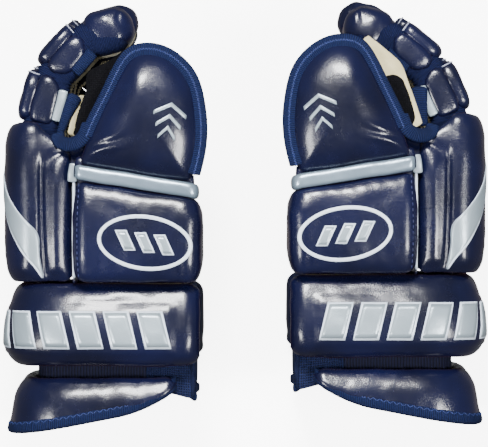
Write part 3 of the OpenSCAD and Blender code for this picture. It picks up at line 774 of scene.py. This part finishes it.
SLEEVE_ROWS = 54
side_navy = finish_of("navy side webbing", webbing((11, 19, 54), (3, 4, 15), 1.3), Specular_IOR_Level=0.1)
for side, (f, finger) in itertools.product(SIDES, enumerate(FINGERS)):
    c = np.radians(curls[side])
    joint = [in_glove(side, joint_at[f"{side}_{finger}_{j}"]) for j in ("knuckle", "middle_joint", "tip_joint")]
    low, high = (v[2] * 1000 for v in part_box(f"{side}_{finger}_base"))
    w = high - low
    dirs = np.stack([np.sin(c), np.cos(c), 0 * c], -1)

    def on_length(k, grid):
        """Finger measures of length k as glove points."""
        a, l, z = (grid[..., i, None] for i in range(3))
        palmward = [math.cos(c[k]), -math.sin(c[k]), 0]
        return joint[k] * [1, 1, 0] + a * palmward + l * dirs[k] + z * [0, 0, 1] + [0, 0, low]

    for k, part in enumerate(LENGTHS):
        length = lengths[finger][k]
        before = math.degrees(c[k] - (c[k - 1] if k else 0))
        after = math.degrees(c[k + 1] - c[k]) if k < 2 else 0
        body = f"{finger}_{part}"
        index = finger == "index"
        front = (15 if index else 12) if k == 2 else -5
        back_face = -20.4 if index or side == "right" or k < 2 else -17.6
        start_bend, end_bend = max(before - 19, 0) / 2, -max(after - 19, 0) / 2
        pad = block((back_face, front), (0.4, length - 0.4 if k < 2 else length + 1), (0.2, w - 0.2),
                    (start_bend, end_bend), (3.6 if k < 2 else 2.7, 3.0), tip=0.12 if k == 2 else 0)
        a, l, z = (pad[..., i] for i in range(3))
        if k == 2:
            pad[..., 0] += 1.0 * np.sin(z * 0.75) * hump(l, length - 9, 6) * (a < -8)
            creases = 1.6 * hump(l + 0.35 * a, length - 12, 1.6) + hump(l + 0.35 * a, length - 17.5, 1.4)
            pad[..., 2] -= creases * ease(z, w / 2, w) * ease(-a, 2, 9)
        pad = plumped(on_length(k, pad), 0.45, 16, 20 + f * 3 + k)
        sew(f"{body}_pad", side, pad, navy_leather, body, [body])
        if k < 2:
            tube = np.linspace(0, 2 * np.pi, 7, endpoint=False)[None, :, None]
            loop, out = pad[-8], facing(pad)[-8]
            ring = 0.5 * (np.cos(tube) * out[:, None] + np.sin(tube) * dirs[k])
            ring = loop[:, None] + 0.55 * out[:, None] + ring
            sew(f"{body}_piping", side, ring, pale_thread, body, ring=True)
        if index and k < 2:
            side_pad = block((-9.5, 10.5), (1.5, length - 1.5), (w - 8, w + 2.2), shape=(4, 3.2))
            share = (side_pad[..., 1] - 1.5) / (length - 3)
            side_pad[..., 1] -= 0.6 * np.clip(side_pad[..., 0], 0, None) * (share - (k > 0) * (1 - share))
            side_pad = plumped(on_length(k, side_pad), 0.4, 15, 50 + k)
            sew(f"{body}_side_panel", side, side_pad, navy_leather, body)
            near, far = ((5.5, length - 9.5), (12.5, length - 3))[k]
            strip = [(12.8, near, w + 0.4), (13.0, length / 2, w + 1.2), (12.6, far, w + 0.4)]
            strip = cord(np.array(strip) + [0, 0, -1.6 * k], (1, 0, 0), (7.4, 10)[k], (2.2, 4)[k], 30,
                         shape=(4, 2), cols=16, ends=1.2)
            finish, slot = ((silver_leather, "silver_leather"), (tape_finish, "navy_webbing"))[k]
            sew(f"{body}_edge_strip", side, on_length(k, strip), finish, body)

    # The sleeve under the pads, one piece for each joint, runs across the joint from one length to the next.
    for k in range(3):
        prev_dir = dirs[k - 1] if k else np.array([0, 1.0, 0])
        reach_back = lengths[finger][k - 1] / 2 if k else 15
        reach_on = lengths[finger][k] / 2 if k < 2 else lengths[finger][k] - 2
        base = joint[k] * [1, 1, 0] + [0, 0, low]
        line = route([base - prev_dir * reach_back, base, base + dirs[k] * reach_on], 9, SLEEVE_ROWS)
        d = unit(np.gradient(line, axis=0))
        palm = np.stack([d[:, 1], -d[:, 0], 0 * d[:, 0]], -1)
        s = np.linspace(0, 1, SLEEVE_ROWS)[:, None]
        if k < 2:
            caps = np.clip(np.minimum(s, 1 - s) * 60, 0, 1) ** 0.5
        else:
            caps = np.clip(s * 60, 0, 1) ** 0.5 * np.sqrt(1 - ease(s, 0.72, 1.0) ** 2 * 0.999)
        cos, sin = (m[None] for m in superellipse(40, (4, 4)))
        fold = hump(s * (reach_back + reach_on), reach_back, 9)
        pleat = np.abs(np.sin((s * (reach_back + reach_on) - reach_back) * np.pi / 4.2))
        a = 5.2 + (12.3 - 1.6 * fold * pleat * (cos > 0.3) + 7 * fold * (cos < -0.2)) * cos * caps
        z = w / 2 + (w / 2 - 0.9 - 0.7 * fold * pleat) * sin * caps
        sleeve = line[:, None] + palm[:, None] * a[..., None] + np.array([0, 0, 1.0]) * z[..., None]
        piece = sew(f"{finger}_sleeve_{k}", side, sleeve, side_navy, None,
                    second=(palm_suede, cos[0] > 0.985))
        bodies = (f"{finger}_{LENGTHS[k - 1]}" if k else "hand", f"{finger}_{LENGTHS[k]}")
        bend_between(piece, side, bodies, base - prev_dir * 9, base + dirs[k] * 9)

# ---- Thumb crotch ----
# The tape goes on from the thumb round the crotch and up the palm edge of the index
# finger as a webbing roll, with the cream leather of the palm turned out inside it.
CROTCH = [(-8.5, 197, 153.3), (-12.7, 186, 152.6), (-19, 181.3, 150.5), (-27, 180.2, 146),
          (-33.5, 183.5, 140), (-35, 190, 136)]
webs = {"left": ([(-34, 187, 134), (-27.5, 205, 135), (-20.5, 220.5, 134)], (5, 12)),
        "right": ([(-26, 188, 134.5), (-24.5, 205, 135.5), (-24.5, 220, 134.5)], (11, 13))}
folds = {"left": ([(-21.5, 187, 128.5), (-18.5, 204, 129.5), (-14, 220, 128.5)], (16, 11)),
         "right": ([(-16, 187, 128.5), (-15, 201, 129.5), (-15, 213, 128.5)], (14, 12))}
for side in SIDES:
    knuckle = in_glove(side, joint_at[f"{side}_index_knuckle"]) * [1, 1, 0]
    curl = math.radians(curls[side][0])
    forward = np.array([math.sin(curl), math.cos(curl), 0])
    bend = (knuckle + [17, -8, 130], knuckle + [17, 0, 130] + forward * 10)
    crotch = cord(CROTCH, square_to, 11, 4.6, 80, radius=7, shape=(3, 2.2), cols=22, ends=2)
    piece = sew("crotch_tape", side, crotch, tape_finish, None)
    bend_between(piece, side, ("hand", "thumb"), [-24, 178, 150], [-12, 190, 150])
    line, widths = webs[side]
    edge = cord(line, square_to, np.linspace(*widths, 60)[:, None], 5.5)
    piece = sew("index_edge_roll", side, edge, tape_finish, None)
    bend_between(piece, side, ("hand", "index_base"), *bend)
    line, widths = folds[side]
    fold = cord(line, lambda p: square_to(p) * [1, 1, 0] + [0, 0, 0.5], np.linspace(*widths, 60)[:, None],
                3, shape=(3, 2.2))
    piece = sew("index_palm_fold", side, fold, palm_suede, None)
    bend_between(piece, side, ("hand", "index_base"), *bend)

saddle_line = closed_line([(-31, 148), (-17, 148), (-12, 164), (-5, 176), (-12, 185), (-20, 178),
                           (-29, 178), (-33, 166)], 90, 2)
saddle, _ = cushion(saddle_line, np.array([-21.0, 164.0]), 128, 137, (2.5, 0.5), 4, 16)
for side in SIDES:
    sew("crotch_leather", side, saddle, navy_leather, "hand")

# ---- Palm and lining ----
# The palm is cream sueded leather: the flat of the palm with a worn patch stitched on
# it, and the web under the thumb. A dark knit lines the back of the hand, and a padded
# roll under the little-finger side carries the glove on the table.


def swapped(grid):
    """A panel drawn in plan, its line in x and y, stood up so that its height is z."""
    return grid[..., [0, 2, 1]]


palm = Panel([(65.5, 75), (-23, 119), (-23, 176)], 22, 1.6, 20.6,
             lambda s, p: np.interp(s, [0, 60, 110, 160], [104, 104, 122, 125]),
             ends=2, corner=2, shape=(2.4, 6), rows=80, cols=40)
palm.push(0.8 * ripple(palm.grid, 30, 10) + 0.3 * ripple(palm.grid, 9, 11))
palm_s, palm_z = palm.s[:, None], palm.grid[..., 1]
palm.push(-0.9 * hump(palm_s + 0.25 * palm_z, 62, 2.2) - 0.8 * hump(palm_s - 0.15 * palm_z, 84, 2.6)
          + 0.7 * hump(palm_s, 74, 8))
worn_suede = finish_of("worn palm patch", suede((186, 172, 126), (140, 126, 88)),
                       Sheen_Weight=0.15, Sheen_Roughness=0.6)
patch_z = np.linspace(27, 93, 20)
patch_in = 6 * (np.abs((patch_z - 60) / 33) ** 6)
palm_patch = [np.stack([9 + patch_in, patch_z], -1), np.stack([56 - patch_in, patch_z], -1)]
web = Panel([(150, 134.2), (111, 107), (73.5, 107)], 16, 1.5,
            lambda s, p: np.clip(65.5 - (p[:, 0] - 72.8) * 2.02, -24, 60) + 1, 64.5,
            ends=2, corner=1, shape=(2.4, 6), rows=50, cols=40)
web.push(0.7 * ripple(web.grid, 28, 12))
liner = Panel([(-26.6, 128.6), (-59.4, 128.6), (-59.4, 20.6), (-26.6, 20.6)], 15, 1.1, 73.4,
              lambda s, p: np.where(p[:, 1] > 95, 186 - np.clip(p[:, 0] + 52, 0, 40) * 0.6, 187),
              ends=2, corner=1, shape=(2.2, 6), rows=90, cols=30)
under_line = closed_line([(-37, 74), (10, 73.5), (57, 74), (40, 84), (-10, 112), (-25, 124), (-25, 160),
                          (-25, 188.5), (-37, 188.5), (-37, 130)], 120, 2)
under, _ = cushion(under_line, np.array([-30.5, 104.0]), 10, 19.8, (5, 0.45), 9.8, 22)
for side in SIDES:
    sew("palm_skin", side, swapped(palm.grid), palm_suede, "hand", ["palm_panel"])
    sew("palm_patch", side, swapped(palm.at(*patch(*palm_patch, 0.9, 9))), worn_suede, "hand")
    for n, (edge, way) in enumerate(zip(palm_patch, (1.8, -1.8))):
        line = route(edge, 1, 31)
        points = swapped(palm.at(line[:, 0] + way, line[:, 1], 1.0))
        ends = points[:-1] * 0.35 + points[1:] * 0.65
        sew_threads(f"palm_stitches_{n}", side, points[:-1], ends, 0.8, navy_thread, "hand")
    sew("thumb_web_skin", side, web.grid[..., [1, 0, 2]], palm_suede, "hand")
    sew("hand_lining", side, liner.grid, knit_lining_and_shade, "hand", ["hand_liner"])
    sew("under_roll_cover", side, under, navy_leather, "hand", ["under_roll"])

# ---- Wrist ----
# An elastic collar joins the roll to the flare. A mesh tab
# with a folded top and a bound edge closes the palm side. All are dark navy and thin.
collar = Panel([(35, 122.2), (-52.7, 122.2), (-52.7, 27.8), (35, 27.8)], 18, 1.5, -14, 20,
               ends=2, corner=1, shape=(2.2, 5), rows=110, cols=30)
collar.push(0.5 * np.sin(collar.s * 1.5)[:, None] * ease(-collar.grid[..., 1], -6, 4))
tab_wall = Panel([(73.5, 26), (69.5, 60), (69.5, 92), (73.5, 124.5)], 30, 1.8, -19, 69,
                 ends=2, corner=3, shape=(2.2, 6), rows=50, cols=40)
tab_top = Panel([(74, 112), (74, 123), (33.5, 123)], 7, 1.9,
                lambda s, p: np.interp(p[:, 0], [33.5, 60, 74], [-7, -19, -21]), 7,
                ends=2, corner=6, shape=(2.2, 5), rows=50, cols=40)
tab_top.push(0.8 * ripple(tab_top.grid, 18, 13))


def mesh_cloth(light, dark):
    """Open mesh: round holes in rows two millimetres apart, on the piece's own map."""
    def build(w):
        holes = w.node("UVMap", {}, {}).cells(520.0, Randomness=0.1)
        fuzz = w.place().noise(400.0, Detail=3.0)
        tone = (holes + fuzz * 0.1).step(0.25, 0.42).mix(rgb(*dark), rgb(*light))
        return tone, fuzz * 0.2 + 0.6, holes.step(0.15, 0.5), 0.0006
    return build


mesh_finish = finish_of("navy mesh", mesh_cloth((13, 22, 55), (4, 6, 15)), Specular_IOR_Level=0.15)
elastic = finish_of("dark elastic", webbing((18, 20, 42), (5, 5, 13), 2.4), Specular_IOR_Level=0.12)
for side in SIDES:
    piece = sew("wrist_collar", side, collar.grid, elastic, None, ["wrist_gusset"])
    bend_between(piece, side, ("hand", "cuff"), [0, 6, 75], [0, -10, 75])
    wall = sew("palm_tab_wall", side, tab_wall.grid, mesh_finish, "hand", ["palm_tab"])
    top = sew("palm_tab_top", side, tab_top.grid, mesh_finish, "hand")
    edge = cord([(73, -18.5, 27), (68.8, -18.8, 60), (68.8, -18.8, 92), (73, -18.5, 121)], (0, 1, 0), 8, 4.4,
                radius=30, cols=20, ends=2)
    binding = sew("palm_tab_edge", side, edge, tape_finish, "hand")

# ---- Flare ----
# The flare is a padded leaf that stands out over the wrist from the collar, cut on a
# slope and curled up at its palm end, with its free edge bound in the same ribbed tape.
FLARE_LINE = [(58, 136), (-66.5, 136), (-66.5, 14), (58, 14)]


def flare_edge(s, p):
    """Height of the free edge: it slopes from the back of the hand and curls up on a
    square at the palm end."""
    return -48 + (p[:, 0] + 70) * 0.19 + 0.0055 * np.clip(p[:, 0] - 12, 0, 60) ** 2


def spread(y):
    """How far the leaf stands out at y, more and more away from the wrist."""
    return 12.5 * np.clip((-2 - y) / 47, 0, 1.1)


flare = Panel(FLARE_LINE, 40, 6.5, flare_edge, -3, ends=9, corner=7, shape=(2.4, 3.4), rows=120, cols=48)
flare.shift(spread(flare.grid[..., 1]))
flare.push(1.8 * hump(flare.grid[..., 1], -19, 10) * (flare.a > 0.2)
           + 0.6 * ripple(flare.grid, 40, 14) + 0.2 * ripple(flare.grid, 12, 15))
hem = Panel(FLARE_LINE, 40, 7.4, lambda s, p: flare_edge(s, p) - 1.5, lambda s, p: flare_edge(s, p) + 10.5,
            ends=9, corner=1, shape=(3, 2.6), rows=160, cols=36)
hem.shift(spread(hem.grid[..., 1]) + 0.6)
hem_s = np.arange(12, hem.far - 12, 2.6)
hem_y = np.interp(hem_s, hem.s, hem.middle) + np.where(np.arange(len(hem_s)) % 2, 3.2, 1.2)
for side in SIDES:
    sew("flare_cover", side, flare.grid, navy_leather, "cuff", ["cuff_flare"])
    sew("flare_tape", side, hem.grid, tape_finish, "cuff", ["cuff_binding"])
    zigzag = hem.at(hem_s, hem_y, 0.1)
    sew_threads("flare_zigzag", side, zigzag[:-1], zigzag[1:], 0.55, blue_thread, "cuff")

# ---- Inserts ----
# Moulded plastic plates lie inside the back pad, the flare and the thumb guard. Each
# keeps its exact solid shape and gets a grey plastic finish.


def moulded(w):
    """Moulded plastic: faint flow marks and a fine matt grain."""
    flow, grain = w.place().noise(30.0, Detail=3.0), w.place().noise(1500.0)
    return flow.mix(rgb(118, 122, 128), rgb(134, 138, 144)), grain * 0.1 + 0.42, grain, 0.0001


insert_plastic = finish_of("grey insert plastic", moulded)
for side in SIDES:
    for name in ("back_plate", "cuff_plate", "thumb_splint"):
        node = frame["nodes"][f"{side}_{name}"]
        node.data.materials.clear()
        node.data.materials.append(insert_plastic)

# ---- Table, light and camera ----
# The pair lies on a plain pale table under three soft overhead lights and a pale room.
# The table glows but isn't mirrored in the leather, and the camera looks straight down.


def pale(w):
    """A nearly even pale board."""
    tone = w.place().noise(3.0).mix(rgb(250, 250, 250), rgb(253, 253, 253))
    dull, bumps = (w.node("TexNoise", {}, {"Scale": scale}, "Fac") for scale in (90.0, 400.0))
    return tone, dull * 0.1 + 0.6, bumps, 0.00005


table = bpy.data.meshes.new("table")
x, y = np.meshgrid([-3, 0, 3], [-3, 0, 3], indexing="ij")
near = np.array([0, 1, 3, 4])
table.from_pydata(np.stack([x, y, 0 * x - 0.0006], -1).reshape(-1, 3).tolist(), [],
                  np.stack([near, near + 3, near + 4, near + 1], -1).tolist())
table.materials.append(finish_of("pale table", pale, Emission_Color=(1, 1, 1, 1), Emission_Strength=6.0))
floor = bpy.data.objects.new("table", table)
bpy.context.scene.collection.objects.link(floor)
floor.visible_glossy = floor.visible_diffuse = False


def soft_light(name, place, aim, size, watts):
    """A square area light at place that faces aim."""
    data = bpy.data.lights.new(name, "AREA")
    data.shape, data.size, data.energy = "SQUARE", size, watts
    lamp = bpy.data.objects.new(name, data)
    bpy.context.scene.collection.objects.link(lamp)
    lamp.location = place
    way = np.array(aim) - np.array(place)
    tilt, turn = math.atan2(math.hypot(way[0], way[1]), -way[2]), math.atan2(way[0], -way[1])
    lamp.rotation_euler = (tilt, 0, turn + math.pi)


soft_light("window", (-0.1, 0.8, 1.25), (0, 0, 0.1), 0.3, 48)
soft_light("lamp", (0.85, -0.25, 1.5), (0, 0, 0.1), 0.4, 34)
soft_light("room", (-0.95, -0.35, 1.5), (0, 0, 0.1), 0.4, 30)
world = bpy.data.worlds.new("room")
bpy.context.scene.world = world
world.use_nodes = True
world.node_tree.nodes["Background"].inputs["Color"].default_value = (0.95, 0.97, 1.0, 1)
world.node_tree.nodes["Background"].inputs["Strength"].default_value = 0.25

camera_data = bpy.data.cameras.new("camera")
camera = bpy.data.objects.new("camera", camera_data)
bpy.context.scene.collection.objects.link(camera)
sharp_at, camera_up, view_w, sensor_w = 0.11, 1.6, 0.3904, 36
camera.location = (-0.0008, -0.0081, sharp_at + camera_up)
camera_data.sensor_width = sensor_w
camera_data.lens = sensor_w * camera_up / view_w
camera_data.clip_end = 20
bpy.context.scene.camera = camera
